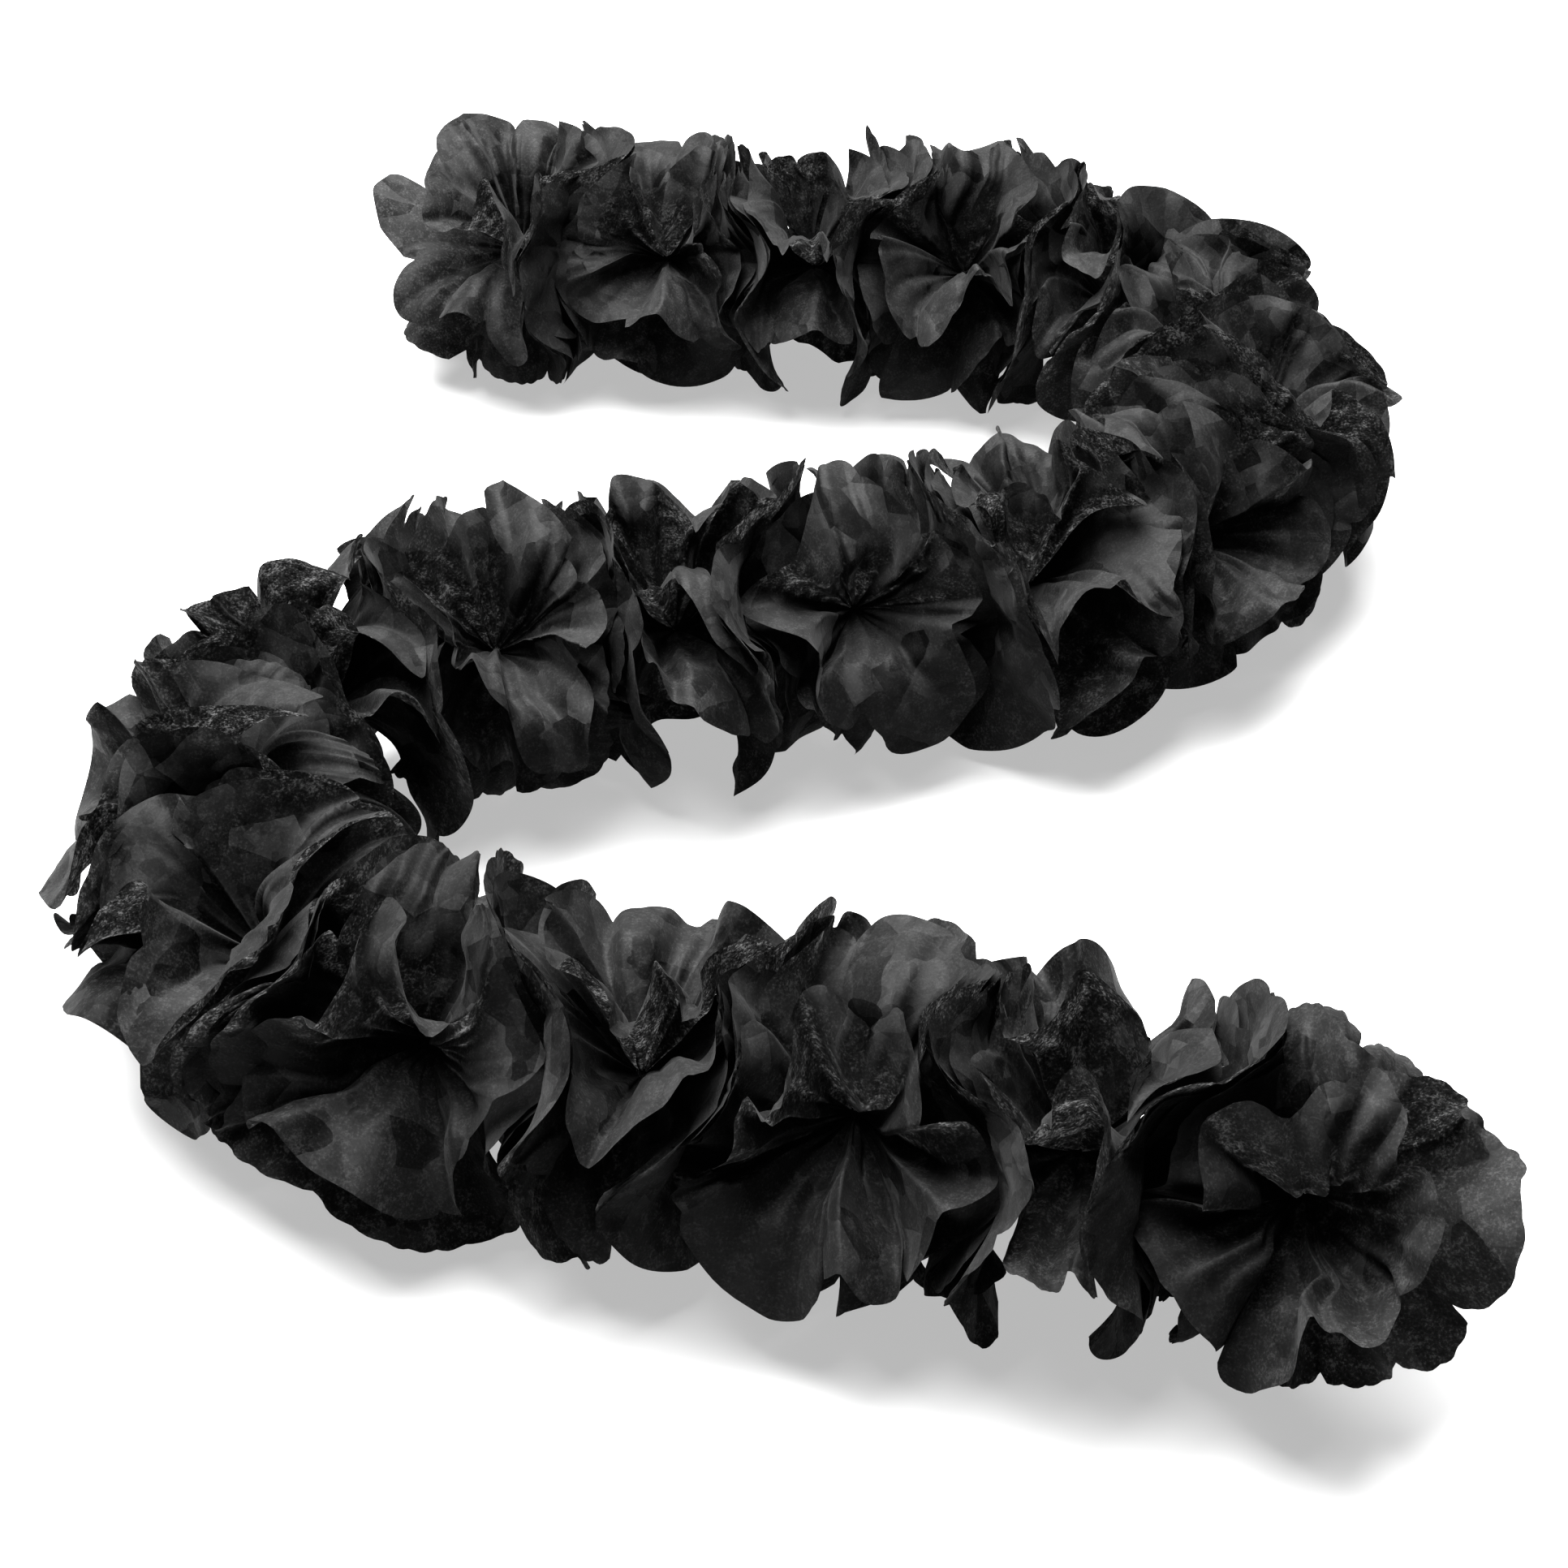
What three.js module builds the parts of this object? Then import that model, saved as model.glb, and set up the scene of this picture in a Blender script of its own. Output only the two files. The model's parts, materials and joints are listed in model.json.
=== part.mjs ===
import * as THREE from "three";

// A boa of tissue-paper flowers, laid on a table in a flat S: three runs joined by two bends.
// Millimetres, +Z up, +X to the right along the runs, +Y away from the nearest run.
//
// The cord is knotted inside every flower and bends where it leaves one. So each flower is a
// pleated paper solid round its own knot, and a straight length of cord links each two flowers.
// A flower is drawn along its own +X axis, which is the way the cord runs through it.

// Flowers: two sheaves of gathered tissue that lean apart from one neck, like a spool.
const flowerRadius = 77; // from the cord to the tip of a petal
const petalNotch = 8; // how far the rim dips between two petals
const petalCount = 8;
const petalRuffle = 3; // how far a petal stands out of its sheaf, every other one the other way
const sheafThickness = 2.4; // at the rim, where the sheets of a sheaf lie together
const neckLength = 14; // the gathered neck, along the cord
const neckRadius = 8;
const partingRadius = 12; // where the two sheaves of a flower part
const rimGap = 4; // left between two neighbouring rims when their link bends all the way
const endReach = 46; // how far the outer sheaf of an end flower opens past its knot

// Cord, and the knot inside each flower.
const cordRadius = 1.5;
const knotRadius = 2.6;
const knotBevel = 1.2;
const endKnotRadius = 3.6; // the stopper knot at each end of the boa
const endKnotLength = 7;
const endKnotBevel = 2;
const clearance = 0.3;

// Layout: flowers stand one link apart along the cord. A run's turn is shared by its links, and
// closing is how much further one link can bend before rims meet. Both are in degrees.
const linkLength = 90;
const firstHeading = -5;
const runs = [
  { count: 3, turn: 0, closing: 35 }, // the far run, away to the right
  { count: 5, turn: -162, closing: 5 }, // the right-hand bend
  { count: 3, turn: 0, closing: 35 }, // the middle run, back to the left and nearer
  { count: 4, turn: 155, closing: 5 }, // the left-hand bend
  { count: 4, turn: 0, closing: 35 }, // the near run, to the right again
];

const samplesPerPetal = 3;
const cordSides = 8;
const domeSteps = 3;

const radians = THREE.MathUtils.degToRad;
const neckHalf = neckLength / 2;
const links = runs.flatMap(({ count, turn, closing }) =>
  Array(count).fill({ turn: radians(turn / count), closing: radians(closing) }),
);

// How far a rim reaches towards the next flower. On the inside of the link's tightest bend it
// stops half a gap short of the plane midway between the two flowers.
function rimReach({ turn, closing }) {
  const halfBend = (Math.abs(turn) + closing) / 2;
  const toMidway = linkLength / 2 - neckHalf * (1 - Math.cos(halfBend));
  const room = toMidway - flowerRadius * Math.sin(halfBend) - rimGap / 2;
  return room / Math.cos(halfBend);
}

// The lowest petal of each flower has its flat edge between two samples, and rests at Z = 0.
const sampleAngle = (2 * Math.PI) / (petalCount * samplesPerPetal);
const dipAt = (angle) => (petalNotch * (1 - Math.cos(petalCount * angle))) / 2;
const axisHeight = (flowerRadius - dipAt(sampleAngle / 2)) * Math.cos(sampleAngle / 2);

const materials = {
  tissue: { color: 0x17171a, roughness: 0.85, metalness: 0 },
  cord: { color: 0x101012, roughness: 0.9, metalness: 0 },
};

function named(name, geometry, material) {
  const mesh = new THREE.Mesh(geometry, new THREE.MeshStandardMaterial(materials[material]));
  mesh.name = name;
  return mesh;
}

// A closed solid of revolution about +X, from profile points given as [radius, x].
function turned(profile, sides, firstAngle = 0) {
  const points = profile.map(([radius, x]) => new THREE.Vector2(radius, x));
  const geometry = new THREE.LatheGeometry(points, sides, firstAngle);
  return geometry.rotateZ(-Math.PI / 2);
}

// One flower, whose two rims reach to -backReach and +frontReach along its axis.
function flowerGeometry(backReach, frontReach) {
  const boreRadius = knotRadius + clearance;
  const parting = neckHalf - sheafThickness;
  const backRim = petalRuffle - backReach;
  const frontRim = frontReach - petalRuffle;
  const profile = [
    [boreRadius, -neckHalf],
    [neckRadius, -neckHalf],
    [flowerRadius, backRim],
    [flowerRadius, backRim + sheafThickness],
    [partingRadius, -parting],
    [partingRadius, parting],
    [flowerRadius, frontRim - sheafThickness],
    [flowerRadius, frontRim],
    [neckRadius, neckHalf],
    [boreRadius, neckHalf],
    [boreRadius, -neckHalf],
  ];
  const sides = petalCount * samplesPerPetal;
  const geometry = turned(profile, sides, sampleAngle / 2);
  const position = geometry.attributes.position;
  for (let i = 0; i < position.count; i++) {
    const point = new THREE.Vector3().fromBufferAttribute(position, i);
    const radius = Math.hypot(point.y, point.z);
    const outward = Math.max(0, (radius - neckRadius) / (flowerRadius - neckRadius));
    const fromLowest = Math.atan2(point.y, -point.z);
    const scallop = 1 - (outward * dipAt(fromLowest)) / flowerRadius;
    const ruffle = petalRuffle * outward * Math.cos((petalCount / 2) * fromLowest);
    position.setXYZ(i, point.x + ruffle, point.y * scallop, point.z * scallop);
  }
  return geometry;
}

// The knotted cord inside a flower, with a stopper knot at the free end of an end flower.
function knotGeometry(stopperAtBack, stopperAtFront) {
  const half = neckHalf - clearance / 2;
  const stopper = [
    [cordRadius, 0],
    [endKnotRadius, endKnotBevel],
    [endKnotRadius, endKnotLength - endKnotBevel],
    [cordRadius, endKnotLength],
  ];
  const cordEnd = [[cordRadius, 0]];
  const back = (stopperAtBack ? stopper : cordEnd).map(([r, x]) => [r, -half - x]);
  const front = (stopperAtFront ? stopper : cordEnd).map(([r, x]) => [r, half + x]);
  back.reverse();
  const profile = [
    [0, back[0][1]],
    ...back,
    [knotRadius, knotBevel - half],
    [knotRadius, half - knotBevel],
    ...front,
    [0, front[front.length - 1][1]],
  ];
  return turned(profile, cordSides);
}

// A straight length of cord from x = 0 to x = length, with domed ends half a clearance short.
function cordGeometry(length) {
  const dome = (centre, from) =>
    Array.from({ length: domeSteps + 1 }, (_, i) => {
      const angle = from + ((Math.PI / 2) * i) / domeSteps;
      return [cordRadius * Math.sin(angle), centre - cordRadius * Math.cos(angle)];
    });
  const inset = clearance / 2 + cordRadius;
  return turned([...dome(inset, 0), ...dome(length - inset, Math.PI / 2)], cordSides);
}

function placed(mesh, point, heading) {
  mesh.position.set(point.x, point.y, axisHeight);
  mesh.rotation.z = heading;
  return mesh;
}

const number = (i) => String(i + 1).padStart(2, "0");
const ahead = (point, heading, distance) =>
  new THREE.Vector2(Math.cos(heading), Math.sin(heading)).multiplyScalar(distance).add(point);

const laid = new THREE.Group();
let centre = new THREE.Vector2(0, 0);
let heading = radians(firstHeading);
const lastFlower = links.length;
for (let i = 0; i <= lastFlower; i++) {
  const backReach = i === 0 ? endReach : rimReach(links[i - 1]);
  const frontReach = i === lastFlower ? endReach : rimReach(links[i]);
  const flower = named(`flower_${number(i)}`, flowerGeometry(backReach, frontReach), "tissue");
  const knot = named(`knot_${number(i)}`, knotGeometry(i === 0, i === lastFlower), "cord");
  laid.add(placed(flower, centre, heading), placed(knot, centre, heading));
  if (i === lastFlower) break;

  const cordLength = linkLength - neckLength;
  const leaves = ahead(centre, heading, neckHalf);
  const cordHeading = heading + links[i].turn / 2;
  const enters = ahead(leaves, cordHeading, cordLength);
  const cord = named(`cord_${number(i)}`, cordGeometry(cordLength), "cord");
  laid.add(placed(cord, leaves, cordHeading));
  heading += links[i].turn;
  centre = ahead(enters, heading, neckHalf);
}

// The origin is on the table, under the middle of the boa's bounding box.
const box = new THREE.Box3().setFromObject(laid, true);
laid.position.set(-(box.min.x + box.max.x) / 2, -(box.min.y + box.max.y) / 2, -box.min.z);

const boa = new THREE.Group();
boa.add(laid);

export default boa;
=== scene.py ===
"""Looks of the tissue-flower boa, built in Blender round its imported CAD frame.

Metres, in the frame of the CAD part: +Z up, the runs lie along X and the viewer is at -Y.

Each flower is a stack of round tissue sheets that are gathered on the cord at their middle. A
sheet is a cone of paper with its tip in the knot: every point lies at some distance from the
knot in some direction, and the directions of one sheet make a closed loop. The loops of a
flower lie inside each other like the petals of a rose that looks up and to one side of the
boa, and a wall sheet closes the flower off from each neighbour.
"""

import json
import math

import bpy
import numpy as np
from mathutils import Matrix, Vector

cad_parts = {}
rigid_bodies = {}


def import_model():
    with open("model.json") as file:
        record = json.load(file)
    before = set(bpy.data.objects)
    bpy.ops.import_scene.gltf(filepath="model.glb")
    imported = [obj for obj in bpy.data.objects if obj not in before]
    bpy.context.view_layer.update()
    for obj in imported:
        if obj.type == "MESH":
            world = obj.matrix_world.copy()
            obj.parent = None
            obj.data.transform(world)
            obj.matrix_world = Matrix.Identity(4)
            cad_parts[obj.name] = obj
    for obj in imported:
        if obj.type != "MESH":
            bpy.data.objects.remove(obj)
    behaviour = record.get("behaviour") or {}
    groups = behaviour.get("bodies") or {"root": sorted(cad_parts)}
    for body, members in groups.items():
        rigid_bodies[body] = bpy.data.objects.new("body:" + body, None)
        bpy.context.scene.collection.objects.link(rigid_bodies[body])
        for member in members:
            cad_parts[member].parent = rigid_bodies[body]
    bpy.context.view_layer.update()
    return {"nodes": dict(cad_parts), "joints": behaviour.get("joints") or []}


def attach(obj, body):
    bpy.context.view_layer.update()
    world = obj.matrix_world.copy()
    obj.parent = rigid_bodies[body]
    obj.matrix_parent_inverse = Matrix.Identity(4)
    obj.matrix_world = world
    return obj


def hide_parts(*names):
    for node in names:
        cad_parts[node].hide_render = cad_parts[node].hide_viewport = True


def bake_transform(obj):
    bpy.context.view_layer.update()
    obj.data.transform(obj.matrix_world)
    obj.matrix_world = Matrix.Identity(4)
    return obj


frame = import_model()

MM = 0.001
LINK = 90 * MM  # between two knots, along the cord
NECK = 7 * MM  # from a knot to the end of its gathered neck
SHEET_REACH = 84 * MM  # from the knot to the rim, across the boa
WALL_REACH = 86 * MM  # the same for a wall sheet, which leans against its neighbour
GATHER = 3.2 * MM  # where a sheet leaves the thread that ties it
FIRST_LOOK = math.radians(100)  # the far end's flower looks up, chosen from the photo
LOOPS = 3  # loop sheets in a flower; an end flower has one more, in place of a wall sheet
RINGS = 26  # rows of points from the knot to the rim
COLUMN = 2.1 * MM  # between two columns of points, at the rim
LOBE = 62 * MM  # the width of one scallop of the rim
NOTCH = 11 * MM  # how far the rim dips between two scallops
SQUARENESS = 0.8  # of a loop's corners: 1 is round, and lower is squarer
WALL_LEAN = math.radians(38)  # how far a wall sheet leans from the plane across the cord
FLOOR_GAP = 0.4 * MM
CEILING = 157 * MM  # petals that stand higher bend over
MIDWAY = 44.4 * MM  # from a knot to the place where its paper meets the next flower's
MOST_PUSH = 27 * MM  # how far a flower may push its neighbour's rim away
SPREAD_PUSH = 19 * MM  # the push of a flower on the side that it looks to
WIDE_FOLD = 13 * MM
FINE_FOLD = 1.5 * MM
ROLL = 20 * MM  # how far two rims that meet roll over
CRUMPLE_REACH = 34 * MM
SOFT_FLOOR = 3 * MM  # over what height paper flattens as it meets the floor
SOFT_LIMIT = 4 * MM  # the same at the midway plane and at the ceiling
CREASES = 44  # in one crumpled surface
SEED = 7


def unit(v):
    return v / np.linalg.norm(v)


# ---------------------------------------------------------------- the path of the cord


def flower_places():
    """The centre and heading of each flower, from the two necks at its sides."""
    count = sum(1 for name in frame["nodes"] if name.startswith("flower_"))
    necks = [[None, None] for _ in range(count)]
    for joint in frame["joints"]:
        at = np.array(joint["pos_m"], float)
        for body in (joint["parent"], joint["child"]):
            if body.startswith("flower_"):
                number = int(body[-2:]) - 1
                other = joint["child"] if body == joint["parent"] else joint["parent"]
                ahead = int(other[-2:]) - 1 == number
                necks[number][1 if ahead else 0] = at
    centres, headings = [None] * count, [None] * count
    for i, (back, front) in enumerate(necks):
        if back is not None and front is not None:
            centres[i], headings[i] = (back + front) / 2, unit(front - back)
    for i, step in ((0, 1), (count - 1, -1)):
        near = necks[i][1 if step > 0 else 0]
        other = necks[i + step][0 if step > 0 else 1]
        along = unit(other - near) * step
        turn = math.atan2(
            along[0] * headings[i + step][1] - along[1] * headings[i + step][0],
            along @ headings[i + step],
        )
        c, s = math.cos(-turn), math.sin(-turn)
        headings[i] = np.array(
            [c * along[0] - s * along[1], s * along[0] + c * along[1], 0.0]
        )
        centres[i] = near - headings[i] * NECK * step
    return np.array(centres), np.array(headings)


class Path:
    """The middle line of the boa, a smooth curve through the knots. A place on it is given in
    metres along it, with the knots one link apart."""

    def __init__(self, centres, headings):
        self.centres, self.headings = centres, headings
        self.height = centres[0][2]

    def at(self, along):
        """The points and the unit directions of the line at those places."""
        last = len(self.centres) - 1
        u = np.asarray(along) / LINK
        i = np.clip(np.floor(u).astype(int), 0, last - 1)
        t = u - i
        before, after = np.minimum(t, 0), np.maximum(t - 1, 0)
        t = np.clip(t, 0, 1)[..., None]
        p, q = self.centres[i], self.centres[i + 1]
        m, n = self.headings[i] * LINK, self.headings[i + 1] * LINK
        point = (
            (2 * t**3 - 3 * t**2 + 1) * p
            + (t**3 - 2 * t**2 + t) * m
            + (3 * t**2 - 2 * t**3) * q
            + (t**3 - t**2) * n
        )
        way = (
            (6 * t**2 - 6 * t) * (p - q)
            + (3 * t**2 - 4 * t + 1) * m
            + (3 * t**2 - 2 * t) * n
        )
        way /= np.linalg.norm(way, axis=-1, keepdims=True)
        point = point + way * ((before + after) * LINK)[..., None]
        return point, way

    def placed(self, along, across, up):
        """Points from their place along the line, to its left and above it."""
        point, way = self.at(along)
        left = np.stack([-way[..., 1], way[..., 0], np.zeros(way.shape[:-1])], -1)
        out = point + left * across[..., None]
        out[..., 2] += up
        return out


# ---------------------------------------------------------------- folds of paper


def pleats(rng, shortest, longest, crisp):
    """A random row of folds round a closed loop, from -1 to 1: high and low folds by turns, some
    rounded and some crisp. It is a function of the place on the loop, in radians."""
    turn = 2 * math.pi
    places = [0.0]
    while places[-1] < turn:
        places.append(places[-1] + rng.uniform(shortest, longest))
    places = np.array(places[: len(places) // 2 * 2 + 1])
    if len(places) < 3:
        places = np.array([0, turn / 2, turn])
    places *= turn / places[-1]
    folds = len(places) - 1
    values = rng.uniform(0.35, 1.0, folds) * np.where(np.arange(folds) % 2, 1, -1)
    values = np.append(values, values[0])
    sharp = rng.uniform(0, 1, folds) < crisp
    start = rng.uniform(0, turn)

    def fold(x):
        x = (np.asarray(x) + start) % turn
        i = np.clip(np.searchsorted(places, x, "right") - 1, 0, folds - 1)
        t = (x - places[i]) / (places[i + 1] - places[i])
        eased = t * t * (3 - 2 * t)
        t = np.where(sharp[i], 0.65 * t + 0.35 * eased, eased)
        return values[i] * (1 - t) + values[i + 1] * t

    return fold


def creases(rng, count, reach, slope):
    """Random creases over the cross-section of the boa: each is a fold line that fades away from
    its middle. It gives how far the paper stands out, from the place across and up."""
    places = rng.uniform(-1, 1, (count, 2)) * WALL_REACH
    angles = rng.uniform(0, 2 * math.pi, count)
    slopes = rng.uniform(0.4, 1.0, count) * slope * rng.choice([-1, 1], count)
    widths = rng.uniform(0.6, 1.4, count) * reach

    def crumple(y, z):
        out = np.zeros_like(y)
        for (a, b), angle, s, w in zip(places, angles, slopes, widths):
            dy, dz = y - a, z - b
            d = dy * math.cos(angle) + dz * math.sin(angle)
            fade = np.clip(1 - (dy * dy + dz * dz) / (w * w), 0, 1)
            out += s * (np.abs(d) - 0.35 * w) * fade * fade
        return out

    return crumple


def facing(theta, looks):
    """1 on the side of the boa that a flower looks to, -1 on the other."""
    return np.cos(theta - looks)


class Boundary:
    """The ruffled surface where two neighbouring flowers press together. Each flower spreads on
    the side that it looks to, and pushes its neighbour away there."""

    def __init__(self, rng, before, after):
        self.before, self.after = before, after
        self.wide = pleats(rng, 0.6, 1.3, 0.4)
        self.fine = pleats(rng, 0.2, 0.5, 0.7)
        self.roll = pleats(rng, 0.5, 1.2, 0.2)
        self.crumple = creases(rng, CREASES, CRUMPLE_REACH, 0.3)

    def at(self, theta):
        spread = facing(theta, self.before) - facing(theta, self.after)
        folds = WIDE_FOLD * self.wide(theta) + FINE_FOLD * self.fine(theta)
        return MOST_PUSH * np.tanh((SPREAD_PUSH * spread + folds) / MOST_PUSH)

    def rolled(self, theta):
        """How far the rims on both sides of it roll over, along the boa."""
        return ROLL * self.roll(theta)


# ---------------------------------------------------------------- one tissue sheet


def loop_size(kappa, bunched):
    """How far loop number kappa reaches round the boa and along it, as angles at the knot. Where
    bunched is low the loops lie against the wall sheet, and where it is high they stand further
    in."""
    k = np.clip(kappa, -0.6, LOOPS + 0.3)
    around = np.radians(30 + 41 * k)
    along = WALL_LEAN * np.clip((k + 1.2) / (LOOPS + 1.2), 0, 1) ** np.exp(bunched)
    return around, along


def loop_directions(kappa, tau, free, bunched):
    """The directions of a loop at tau: the angle round the boa from the way the flower looks,
    and the lean along the boa. On a free side, with no neighbour, the loop is round."""
    around, along = loop_size(kappa, bunched)
    c, s = np.cos(tau), np.sin(tau)
    round_lean = np.arcsin(np.clip(np.sin(around) * s, -1, 1))
    round_phi = np.arctan2(np.sin(around) * c, np.cos(around))
    phi = around * np.sign(c) * np.abs(c) ** SQUARENESS
    lean = along * np.sign(s) * np.abs(s) ** (SQUARENESS * 0.8)
    return np.where(free, round_phi, phi), np.where(free, round_lean, lean)


def arc_length(phi, lean):
    """The length along a curve on the unit sphere, from its first point."""
    d = np.stack([np.sin(lean), np.cos(lean) * np.cos(phi), np.cos(lean) * np.sin(phi)])
    step = np.linalg.norm(np.diff(d, axis=1), axis=0)
    return np.concatenate([[0], np.cumsum(step)])


def evenly(values, length, start=None, end=None):
    """The parameter values at even steps of length, and the lengths there."""
    first = 0.0 if start is None else np.interp(start, values, length)
    last = length[-1] if end is None else np.interp(end, values, length)
    count = max(24, int(round((last - first) * SHEET_REACH / COLUMN)))
    at = np.linspace(first, last, count + 1)
    return np.interp(at, length, values), at


class Petals:
    """The scalloped rim of a closed sheet: round lobes, each of which curls in its own way. It
    gives how far the rim dips and how much it curls, from the length round the sheet."""

    def __init__(self, rng, total):
        count = max(4, int(round(total * SHEET_REACH / LOBE)))
        widths = rng.uniform(0.6, 1.4, count)
        self.total = total
        self.places = np.concatenate([[0], np.cumsum(widths)]) * total / widths.sum()
        self.start = rng.uniform(0, total)
        self.pointed = rng.uniform(0, 1, count) < 0.14
        self.depth = NOTCH * rng.uniform(0.5, 1.5, count)
        self.longer = rng.uniform(-4, 4, count) * MM + np.where(self.pointed, 5 * MM, 0)
        self.bend = rng.uniform(-1, 1, count)
        self.twist = rng.uniform(-1, 1, count)
        self.ripple = rng.choice([0, 0, 1.2]) * MM

    def at(self, length):
        x = (length + self.start) % self.total
        i = np.clip(np.searchsorted(self.places, x, "right") - 1, 0, len(self.depth) - 1)
        t = (x - self.places[i]) / (self.places[i + 1] - self.places[i])
        t = np.clip(t, 0, 1)
        rounded = np.sin(math.pi * t) ** 0.6
        arch = np.where(self.pointed[i], 1 - np.abs(2 * t - 1) ** 1.2, rounded)
        dip = self.depth[i] * (1 - arch) - self.longer[i] * arch
        dip += self.ripple * (1 - np.abs(np.sin(math.pi * x * SHEET_REACH / (10 * MM))))
        curl = (self.bend[i] + self.twist[i] * (2 * t - 1)) * arch
        return dip, curl


def ring_shares():
    """Where the rings of a sheet lie, from the gathered middle (0) to the rim (1)."""
    t = np.linspace(0, 1, RINGS)
    return t + 0.12 * np.sin(2 * math.pi * t) / math.pi


def build_mesh(name, points, closed):
    """A mesh from a grid of points, rings by columns. A closed one joins its last column to its
    first."""
    rings, columns = points.shape[:2]
    i = np.arange(rings - 1)[:, None]
    j = np.arange(columns if closed else columns - 1)[None, :]
    k = (j + 1) % columns
    quads = np.stack(
        [
            (i * columns + j) + 0 * k,
            (i * columns) + k,
            ((i + 1) * columns) + k,
            ((i + 1) * columns + j) + 0 * k,
        ],
        -1,
    ).reshape(-1, 4)
    mesh = bpy.data.meshes.new(name)
    mesh.from_pydata(points.reshape(-1, 3).tolist(), [], quads.tolist())
    mesh.polygons.foreach_set("use_smooth", [True] * len(mesh.polygons))
    obj = bpy.data.objects.new(name, mesh)
    bpy.context.scene.collection.objects.link(obj)
    return obj


def look_angle(path, number, rng):
    """The way a flower looks, as an angle round the boa from its left side: upwards, to the
    outside of a bend, and by turns to the viewer and away."""
    last = len(path.centres) - 1
    _, way = path.at(np.array(number * LINK))
    left = np.array([-way[1], way[0], 0.0])
    bend = path.headings[min(number + 1, last)] - path.headings[max(number - 1, 0)]
    outward = -float(bend @ left)
    viewer = -float(left[1])
    turns = 1.3 if number % 2 else -0.7
    tilt = (turns + rng.uniform(-0.3, 0.3)) * viewer + 0.7 * outward
    return math.atan2(1.0, tilt)


class Flower:
    """One flower: its place, the way it looks, and what its sheets share."""

    def __init__(self, number, path, looks, boundaries, last):
        self.number, self.path, self.looks = number, path, looks
        self.rng = np.random.default_rng(1000 + number)
        self.place = number * LINK
        self.back, self.front = boundaries[number], boundaries[number + 1]
        self.first_end, self.last_end = number == 0, number == last
        self.neck_folds = pleats(self.rng, 0.1, 0.24, 1.0)
        self.common = pleats(self.rng, 0.35, 0.8, 0.5)
        self.radial = pleats(self.rng, 0.1, 0.24, 1.0)
        self.common_roll = pleats(self.rng, 0.5, 1.3, 0.2)
        self.bunched = pleats(self.rng, 0.5, 1.2, 0.4)
        self.crumple = creases(self.rng, CREASES, CRUMPLE_REACH, 0.3)
        self.crumple_across = creases(self.rng, CREASES, CRUMPLE_REACH, 0.3)
        self.turn_to_share = self.even_turn()

    def free(self, side):
        return self.last_end if side > 0 else self.first_end

    def even_turn(self):
        """A table from the loop parameter to the share of the way round a middle loop, as an
        angle, so that folds are as wide in its corners as on its sides."""
        tau = np.linspace(0, 2 * math.pi, 1001)
        free = np.where(np.sin(tau) >= 0, self.free(1), self.free(-1))
        length = arc_length(*loop_directions(1.0, tau, free, -0.6))
        first, total = np.interp(math.pi, tau, length), length[-1]
        turn = np.where(
            tau <= math.pi,
            math.pi * length / first,
            math.pi * (1 + (length - first) / (total - first)),
        )
        return tau, turn

    def free_at(self, lean):
        """Where no neighbour holds a sheet in."""
        return (lean > 0) & self.last_end | (lean < 0) & self.first_end

    def pushed(self, x, theta, r, late):
        """How far the paper is pushed along the boa by the ruffled boundary on its side."""
        share = np.clip(np.abs(x) / (LINK / 2), 0, 1.2)
        outer = np.clip(r / SHEET_REACH, 0, 1.1)
        front = 0.0 if self.last_end else self.front.at(theta) * outer
        back = 0.0 if self.first_end else self.back.at(theta) * outer
        if not self.last_end:
            front = front + self.front.rolled(theta) * late
        if not self.first_end:
            back = back + self.back.rolled(theta) * late
        return np.where(x > 0, front, back) * share**1.3

    def crumpled(self, x, y, z):
        """How far the paper stands out where it is crumpled: near a boundary, together with the
        next flower's."""
        shared = np.clip(np.abs(x) / (LINK / 2), 0, 1) ** 3
        front = self.crumple(y, z) if self.last_end else self.front.crumple(y, z)
        back = self.crumple(y, z) if self.first_end else self.back.crumple(y, z)
        beside = np.where(x > 0, front, back)
        return (1 - shared) * self.crumple(y, z) + shared * beside

    def placed(self, r, phi, lean, own_crumple, late):
        """Points of a sheet, from their distance and direction from the knot."""
        theta = self.looks + phi
        bowed = np.where(self.free_at(lean), 1, 1 + 0.6 * (1 - r / WALL_REACH))
        x = r * np.sin(lean * bowed)
        room = SOFT_LIMIT * np.logaddexp(0, (MIDWAY - np.abs(x)) / SOFT_LIMIT)
        x = np.where(self.free_at(lean), x, np.sign(lean) * (MIDWAY - room))
        x = x + self.pushed(x, theta, r, late)
        rho = np.sqrt(np.maximum(r * r - x * x, (0.5 * r) ** 2))
        near = np.exp(-(((r - 16 * MM) / (16 * MM)) ** 2))
        x = x + 1.5 * MM * near * self.neck_folds(theta)
        out = np.clip((r - 12 * MM) / (40 * MM), 0, 1)
        y, z = rho * np.cos(theta), rho * np.sin(theta)
        dx = (self.crumpled(x, y, z) + own_crumple(y, z)) * out
        across = self.crumple_across(x, rho - 45 * MM + 20 * MM * phi) * out
        x = x + dx
        theta = theta + across / SHEET_REACH
        y, z = rho * np.cos(theta), rho * np.sin(theta)
        floor = -self.path.height + FLOOR_GAP
        above = z - floor
        pressed = SOFT_FLOOR * np.logaddexp(0, above / SOFT_FLOOR)
        y = y * (1 + 0.5 * np.clip((pressed - above) / SHEET_REACH, 0, 1))
        over = (floor + pressed + self.path.height - CEILING) / SOFT_LIMIT
        pressed = pressed - SOFT_LIMIT * np.logaddexp(0, over) * 0.9
        return self.path.placed(self.place + x, y, floor + pressed)


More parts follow.
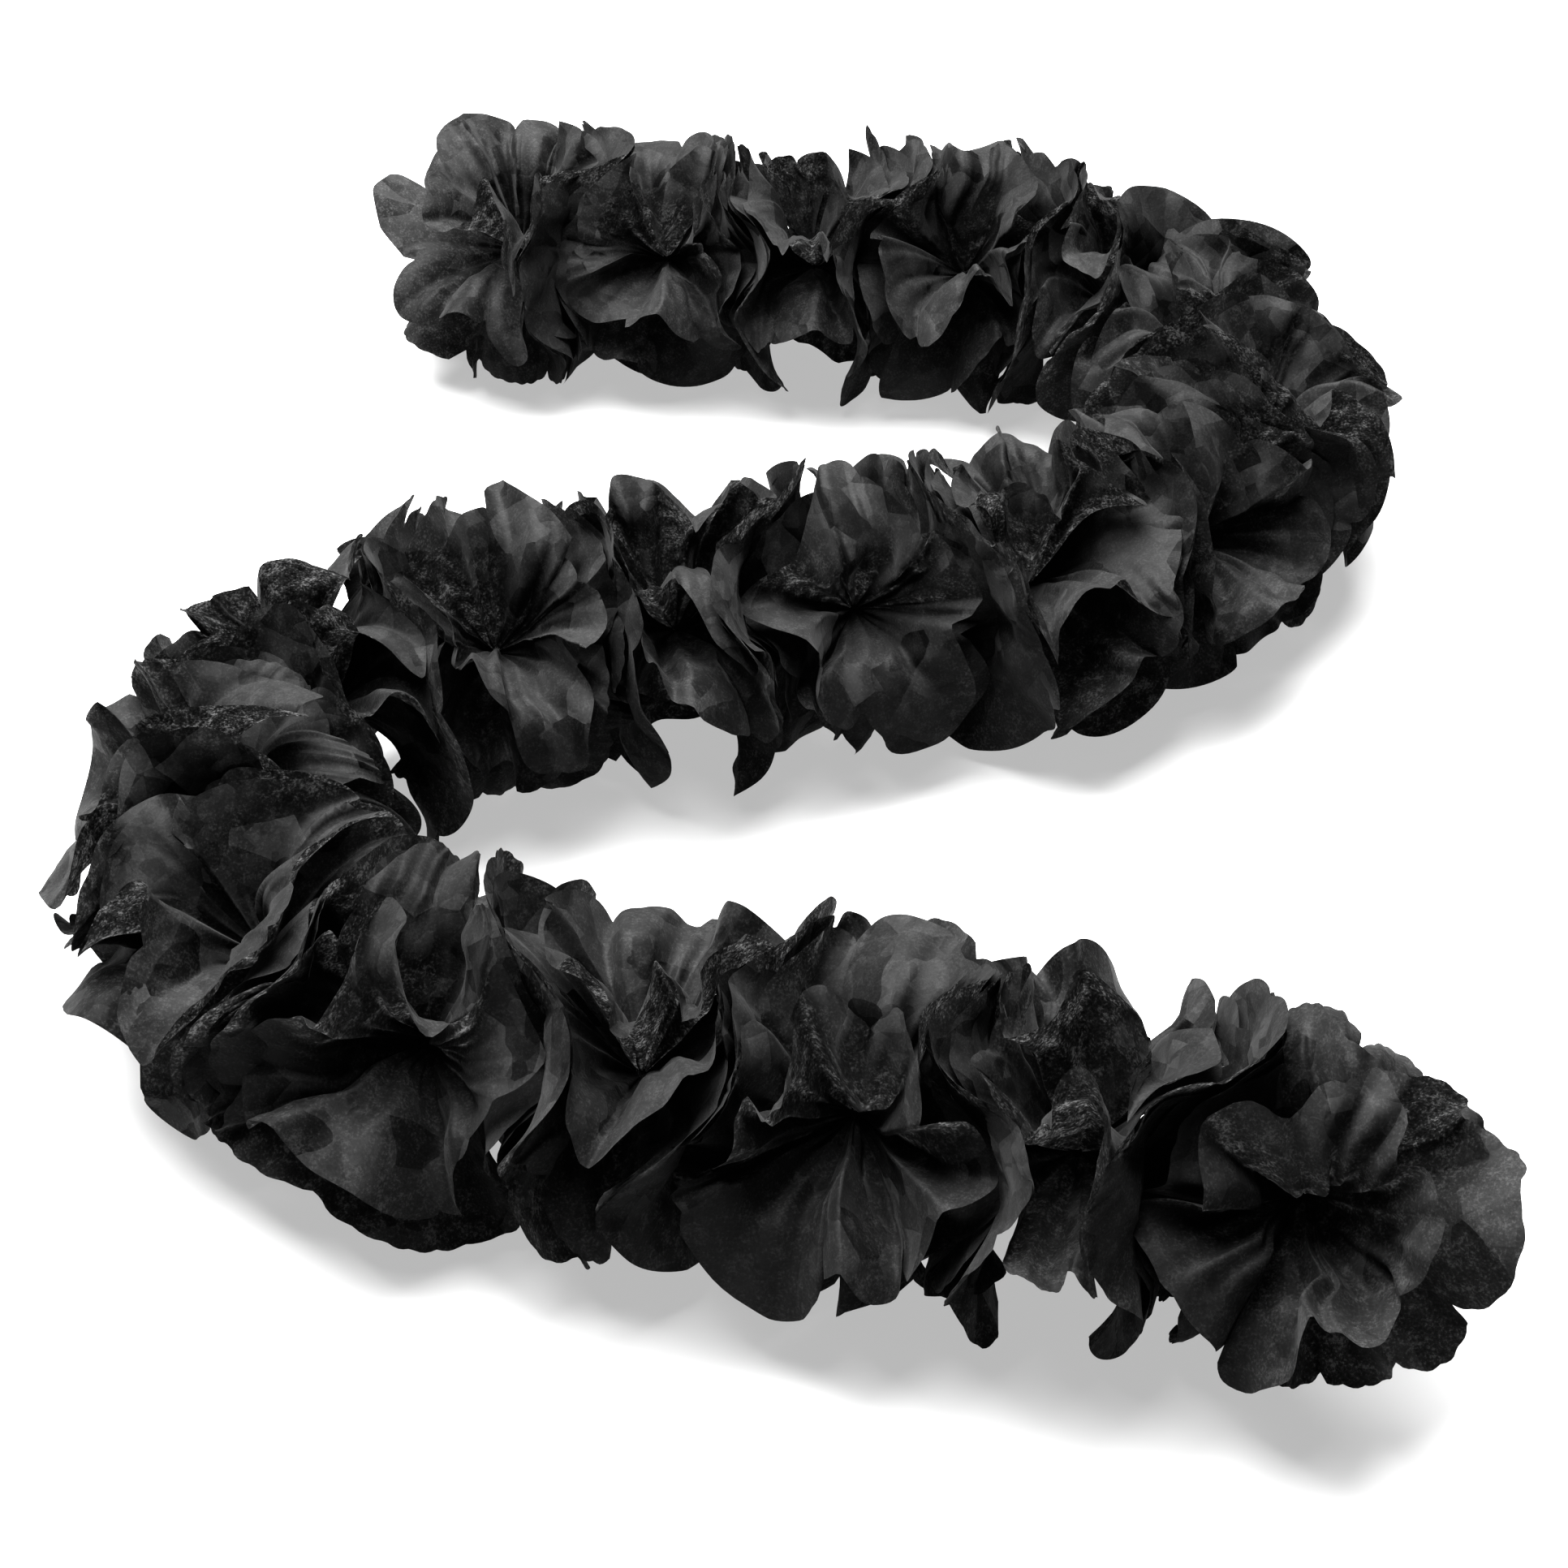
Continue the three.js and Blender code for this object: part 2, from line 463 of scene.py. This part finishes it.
def add_loop(flower, k, paper):
    """Loop sheet k of a flower, in two halves that meet over the knot, one on each side of it."""
    rng = flower.rng
    own, fine = pleats(rng, 0.35, 0.9, 0.5), pleats(rng, 0.1, 0.24, 1.0)
    size = rng.uniform(0.9, 1.04)
    crumple = creases(rng, 34, 18 * MM, 0.3)

    def loop(tau, share=1.0, rolled=0.0):
        """The directions of the sheet at tau and at a share of the way out, where it is rolled
        out that far. The gathers are sharpest at the knot."""
        turn = np.interp(tau, *flower.turn_to_share)
        folds = 0.34 * flower.common(turn) + 0.26 * own(turn)
        gathers = 0.13 * flower.radial(turn) + 0.05 * fine(turn)
        folds = folds + gathers * (1.25 - 0.75 * share)
        bunched = 0.35 * flower.bunched(turn) - 0.75
        free = np.where(tau < math.pi, flower.free(1), flower.free(-1))
        calm = np.where(free, 1 - 0.8 * np.sin(tau) ** 2, 1.0)
        kappa = k + calm * (folds + rolled)
        return loop_directions(kappa, tau, free, bunched)

    dense = np.linspace(0, 2 * math.pi, 4001)
    length = arc_length(*loop(dense))
    petals = Petals(rng, length[-1])
    share = ring_shares()[:, None]
    late = np.clip((share - 0.45) / 0.55, 0, 1) ** 2.2
    for side, start in ((1, 0.0), (-1, math.pi)):
        tau, at = evenly(dense, length, start, start + math.pi)
        tau = np.clip(tau, start + 1e-6, start + math.pi - 1e-6)
        dip, curl = petals.at(at)
        common_roll = flower.common_roll(np.interp(tau, *flower.turn_to_share))
        rolled = (0.4 + 0.5 * common_roll + 0.4 * curl) * late
        phi, lean = loop(tau, share, rolled)
        lean[:, 0] = lean[:, -1] = 0.0
        r = GATHER + (SHEET_REACH * size - dip - GATHER) * share
        points = flower.placed(r, phi, lean, crumple, late)
        end = "front" if side > 0 else "back"
        name = f"flower_{flower.number + 1:02d}_sheet_{k + 1}_{end}"
        obj = build_mesh(name, points, closed=False)
        finish_sheet(flower, obj, paper, side)


def add_wall(flower, side, paper):
    """A sheet that goes all the way round the boa and leans against the next flower."""
    rng = flower.rng
    own = pleats(rng, 0.2, 0.5, 0.6)
    theta = np.linspace(-math.pi, math.pi, 4001)
    length = arc_length(theta, WALL_LEAN + 0 * theta)
    petals = Petals(rng, length[-1])
    phi, at = evenly(theta, length)
    phi, at = phi[:-1], at[:-1]
    lean = side * (WALL_LEAN - 0.03 + 0.03 * own(phi))
    dip, _ = petals.at(at)
    share = ring_shares()[:, None]
    late = np.clip((share - 0.5) / 0.5, 0, 1) ** 2
    reach = WALL_REACH * rng.uniform(0.94, 1.02) - 0.7 * dip
    r = GATHER + (reach - GATHER) * share
    crumple = creases(rng, 26, 20 * MM, 0.08)
    phi, lean = np.broadcast_to(phi, r.shape), np.broadcast_to(lean, r.shape)
    points = flower.placed(r, phi, lean, crumple, late)
    end = "front" if side > 0 else "back"
    obj = build_mesh(f"flower_{flower.number + 1:02d}_wall_{end}", points, closed=True)
    finish_sheet(flower, obj, paper, side)


def finish_sheet(flower, obj, paper, side):
    """Material and motion of a sheet. It also hides the CAD part of its flower. The flat size
    that is declared is worked out from the finished mesh, not from a cut sheet, so it says
    nothing of stretched paper.
    """
    obj.data.materials.append(paper)
    node = f"flower_{flower.number + 1:02d}"
    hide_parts(node)
    follow(flower, obj, side)


def add_thread(flower, cotton):
    """The turns of thread that tie the sheets on their knot."""
    turns, radius, thick = 4, 3.7 * MM, 0.45 * MM
    share = np.linspace(0, 1, 20 * turns + 1)[:, None]
    section = np.linspace(0, 2 * math.pi, 7)[None, :-1]
    x = (share - 0.5) * turns * 2 * thick + thick * np.sin(section)
    rho = radius + thick * np.cos(section)
    turn = 2 * math.pi * turns * share
    y, z = rho * np.cos(turn), rho * np.sin(turn)
    points = flower.path.placed(flower.place + x, y, z)
    obj = build_mesh(f"flower_{flower.number + 1:02d}_thread", points, closed=True)
    obj.data.materials.append(cotton)
    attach(obj, f"flower_{flower.number + 1:02d}")


def follow(flower, obj, side):
    """An end flower's outer side moves rigidly with its flower; any other sheet has its place
    baked into its mesh and is attached to nothing.
    """
    body = f"flower_{flower.number + 1:02d}"
    if (side > 0 and flower.last_end) or (side < 0 and flower.first_end):
        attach(obj, body)
        return
    start, way = flower.path.at(np.array(flower.place))
    end, _ = flower.path.at(np.array(flower.place + side * LINK / 2))
    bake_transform(obj)


# ---------------------------------------------------------------- materials


def new_material(name):
    material = bpy.data.materials.new(name)
    material.use_nodes = True
    nodes = material.node_tree.nodes
    nodes.clear()
    return material, nodes, material.node_tree.links


def add_node(nodes, kind, **values):
    """A node, with its settings and the values of its inputs."""
    node = nodes.new(kind)
    for key, value in values.items():
        if key in node.inputs:
            node.inputs[key].default_value = value
        else:
            setattr(node, key, value)
    return node


def ramp(nodes, stops):
    node = nodes.new("ShaderNodeValToRGB")
    node.color_ramp.elements[0].position, node.color_ramp.elements[0].color = stops[0]
    node.color_ramp.elements[1].position, node.color_ramp.elements[1].color = stops[-1]
    for position, color in stops[1:-1]:
        node.color_ramp.elements.new(position).color = color
    return node


def grey(value):
    return (value, value, value, 1.0)


def facets(nodes, links, place):
    """Normals of crumpled paper: flat facets of two sizes with crisp edges."""
    warp = add_node(nodes, "ShaderNodeTexNoise", Scale=30.0, Detail=2.0)
    links.new(place.outputs["Object"], warp.inputs["Vector"])
    bent = add_node(nodes, "ShaderNodeVectorMath", operation="MULTIPLY_ADD")
    bent.inputs[1].default_value = (0.01, 0.01, 0.01)
    links.new(warp.outputs["Color"], bent.inputs[0])
    links.new(place.outputs["Object"], bent.inputs[2])
    normal = nodes.new("ShaderNodeNewGeometry").outputs["Normal"]
    for scale, tilt in ((46.0, 0.64), (120.0, 0.26)):
        cells = add_node(nodes, "ShaderNodeTexVoronoi", Scale=scale)
        links.new(bent.outputs[0], cells.inputs["Vector"])
        centred = add_node(nodes, "ShaderNodeVectorMath", operation="SUBTRACT")
        centred.inputs[1].default_value = (0.5, 0.5, 0.5)
        links.new(cells.outputs["Color"], centred.inputs[0])
        tilted = add_node(nodes, "ShaderNodeVectorMath", operation="MULTIPLY_ADD")
        tilted.inputs[1].default_value = (tilt, tilt, tilt)
        links.new(centred.outputs[0], tilted.inputs[0])
        links.new(normal, tilted.inputs[2])
        normal = tilted.outputs[0]
    one = add_node(nodes, "ShaderNodeVectorMath", operation="NORMALIZE")
    links.new(normal, one.inputs[0])
    return one.outputs[0]


def tissue_material():
    """Thin black tissue: matte fibres, cloudy where light comes through."""
    material, nodes, links = new_material("black_tissue")
    place = add_node(nodes, "ShaderNodeTexCoord")
    clouds = add_node(nodes, "ShaderNodeTexNoise", Scale=150.0, Detail=4.0, Roughness=0.6)
    fibres = add_node(nodes, "ShaderNodeTexNoise", Scale=800.0, Detail=4.0, Roughness=0.7)
    links.new(place.outputs["Object"], clouds.inputs["Vector"])
    links.new(place.outputs["Object"], fibres.inputs["Vector"])
    speckle = add_node(nodes, "ShaderNodeMath", operation="MULTIPLY_ADD")
    speckle.inputs[1].default_value = 0.6
    links.new(fibres.outputs["Fac"], speckle.inputs[0])
    faint = add_node(nodes, "ShaderNodeMath", operation="MULTIPLY")
    faint.inputs[1].default_value = 0.4
    links.new(clouds.outputs["Fac"], faint.inputs[0])
    links.new(faint.outputs[0], speckle.inputs[2])
    mottle = ramp(nodes, [(0.4, grey(0.0045)), (0.5, grey(0.007)), (0.62, grey(0.013))])
    links.new(speckle.outputs[0], mottle.inputs["Fac"])
    through = ramp(nodes, [(0.42, grey(0.02)), (0.52, grey(0.08)), (0.62, grey(0.42))])
    links.new(speckle.outputs[0], through.inputs["Fac"])
    bump = add_node(nodes, "ShaderNodeBump", Strength=0.2, Distance=0.0004)
    links.new(fibres.outputs["Fac"], bump.inputs["Height"])
    links.new(facets(nodes, links, place), bump.inputs["Normal"])
    paper = add_node(nodes, "ShaderNodeBsdfPrincipled", Roughness=0.72)
    paper.inputs["Specular IOR Level"].default_value = 0.2
    paper.inputs["Sheen Weight"].default_value = 0.03
    paper.inputs["Sheen Roughness"].default_value = 0.5
    links.new(mottle.outputs["Color"], paper.inputs["Base Color"])
    links.new(bump.outputs["Normal"], paper.inputs["Normal"])
    glow = add_node(nodes, "ShaderNodeBsdfTranslucent")
    links.new(through.outputs["Color"], glow.inputs["Color"])
    mix = add_node(nodes, "ShaderNodeMixShader")
    mix.inputs[0].default_value = 0.14
    links.new(paper.outputs[0], mix.inputs[1])
    links.new(glow.outputs[0], mix.inputs[2])
    out = add_node(nodes, "ShaderNodeOutputMaterial")
    links.new(mix.outputs[0], out.inputs["Surface"])
    return material


def cord_material():
    """Black twisted cotton."""
    material, nodes, links = new_material("black_cotton")
    place = add_node(nodes, "ShaderNodeTexCoord")
    fibres = add_node(nodes, "ShaderNodeTexNoise", Scale=900.0, Detail=4.0)
    links.new(place.outputs["Object"], fibres.inputs["Vector"])
    shade = ramp(nodes, [(0.3, grey(0.008)), (0.7, grey(0.025))])
    links.new(fibres.outputs["Fac"], shade.inputs["Fac"])
    cotton = add_node(nodes, "ShaderNodeBsdfPrincipled", Roughness=0.9)
    links.new(shade.outputs["Color"], cotton.inputs["Base Color"])
    out = add_node(nodes, "ShaderNodeOutputMaterial")
    links.new(cotton.outputs[0], out.inputs["Surface"])
    return material


def floor_material():
    """White, and a little self-lit, as on a light table."""
    material, nodes, links = new_material("white_floor")
    paint = add_node(nodes, "ShaderNodeBsdfPrincipled", Roughness=0.9)
    paint.inputs["Base Color"].default_value = grey(0.25)
    paint.inputs["Emission Color"].default_value = grey(1.0)
    paint.inputs["Emission Strength"].default_value = 0.38
    paint.inputs["Specular IOR Level"].default_value = 0.1
    out = add_node(nodes, "ShaderNodeOutputMaterial")
    links.new(paint.outputs[0], out.inputs["Surface"])
    return material


# ---------------------------------------------------------------- the studio


def add_floor():
    mesh = bpy.data.meshes.new("floor")
    size = 4.0
    corners = [(-size, -size, 0), (size, -size, 0), (size, size, 0), (-size, size, 0)]
    mesh.from_pydata(corners, [], [(0, 1, 2, 3)])
    floor = bpy.data.objects.new("floor", mesh)
    floor.location.z = -0.0005
    bpy.context.scene.collection.objects.link(floor)
    mesh.materials.append(floor_material())


def add_light(name, place, size, power):
    """A square softbox that faces the middle of the boa."""
    data = bpy.data.lights.new(name, "AREA")
    data.shape, data.size, data.energy = "SQUARE", size, power
    light = bpy.data.objects.new(name, data)
    light.location = place
    light.rotation_mode = "QUATERNION"
    light.rotation_quaternion = (-Vector(place)).to_track_quat("-Z", "Y")
    bpy.context.scene.collection.objects.link(light)


def add_studio():
    world = bpy.data.worlds.new("studio")
    world.use_nodes = True
    background = world.node_tree.nodes["Background"]
    background.inputs["Color"].default_value = (1, 1, 1, 1)
    background.inputs["Strength"].default_value = 0.05
    bpy.context.scene.world = world
    add_light("key_light", (-0.35, 0.35, 1.9), 1.9, 330)
    bpy.context.scene.view_settings.view_transform = "Standard"
    bpy.context.scene.view_settings.look = "High Contrast"


def add_camera():
    data = bpy.data.cameras.new("camera")
    data.lens, data.sensor_width = 60, 36
    camera = bpy.data.objects.new("camera", data)
    camera.location = (0.026, -1.046, 0.86)
    camera.rotation_euler = (math.radians(90 - 40.47), 0, math.radians(1.38))
    bpy.context.scene.collection.objects.link(camera)
    bpy.context.scene.camera = camera


# ---------------------------------------------------------------- the whole


def build():
    centres, headings = flower_places()
    path = Path(centres, headings)
    count = len(centres)
    rng = np.random.default_rng(SEED)
    looks = [look_angle(path, number, rng) for number in range(count)]
    looks[0] = FIRST_LOOK
    around = [looks[0], *looks, looks[-1]]
    boundaries = [Boundary(rng, *pair) for pair in zip(around, around[1:])]
    paper, cotton = tissue_material(), cord_material()
    for number in range(count):
        flower = Flower(number, path, looks[number], boundaries, count - 1)
        at_end = flower.first_end or flower.last_end
        for k in range(LOOPS + 1 if at_end else LOOPS):
            add_loop(flower, k, paper)
        for side in (1, -1):
            if not flower.free(side):
                add_wall(flower, side, paper)
        add_thread(flower, cotton)
    for name, node in frame["nodes"].items():
        if name.startswith(("knot_", "cord_")):
            node.data.materials.clear()
            node.data.materials.append(cotton)
    add_floor()
    add_studio()
    add_camera()


build()
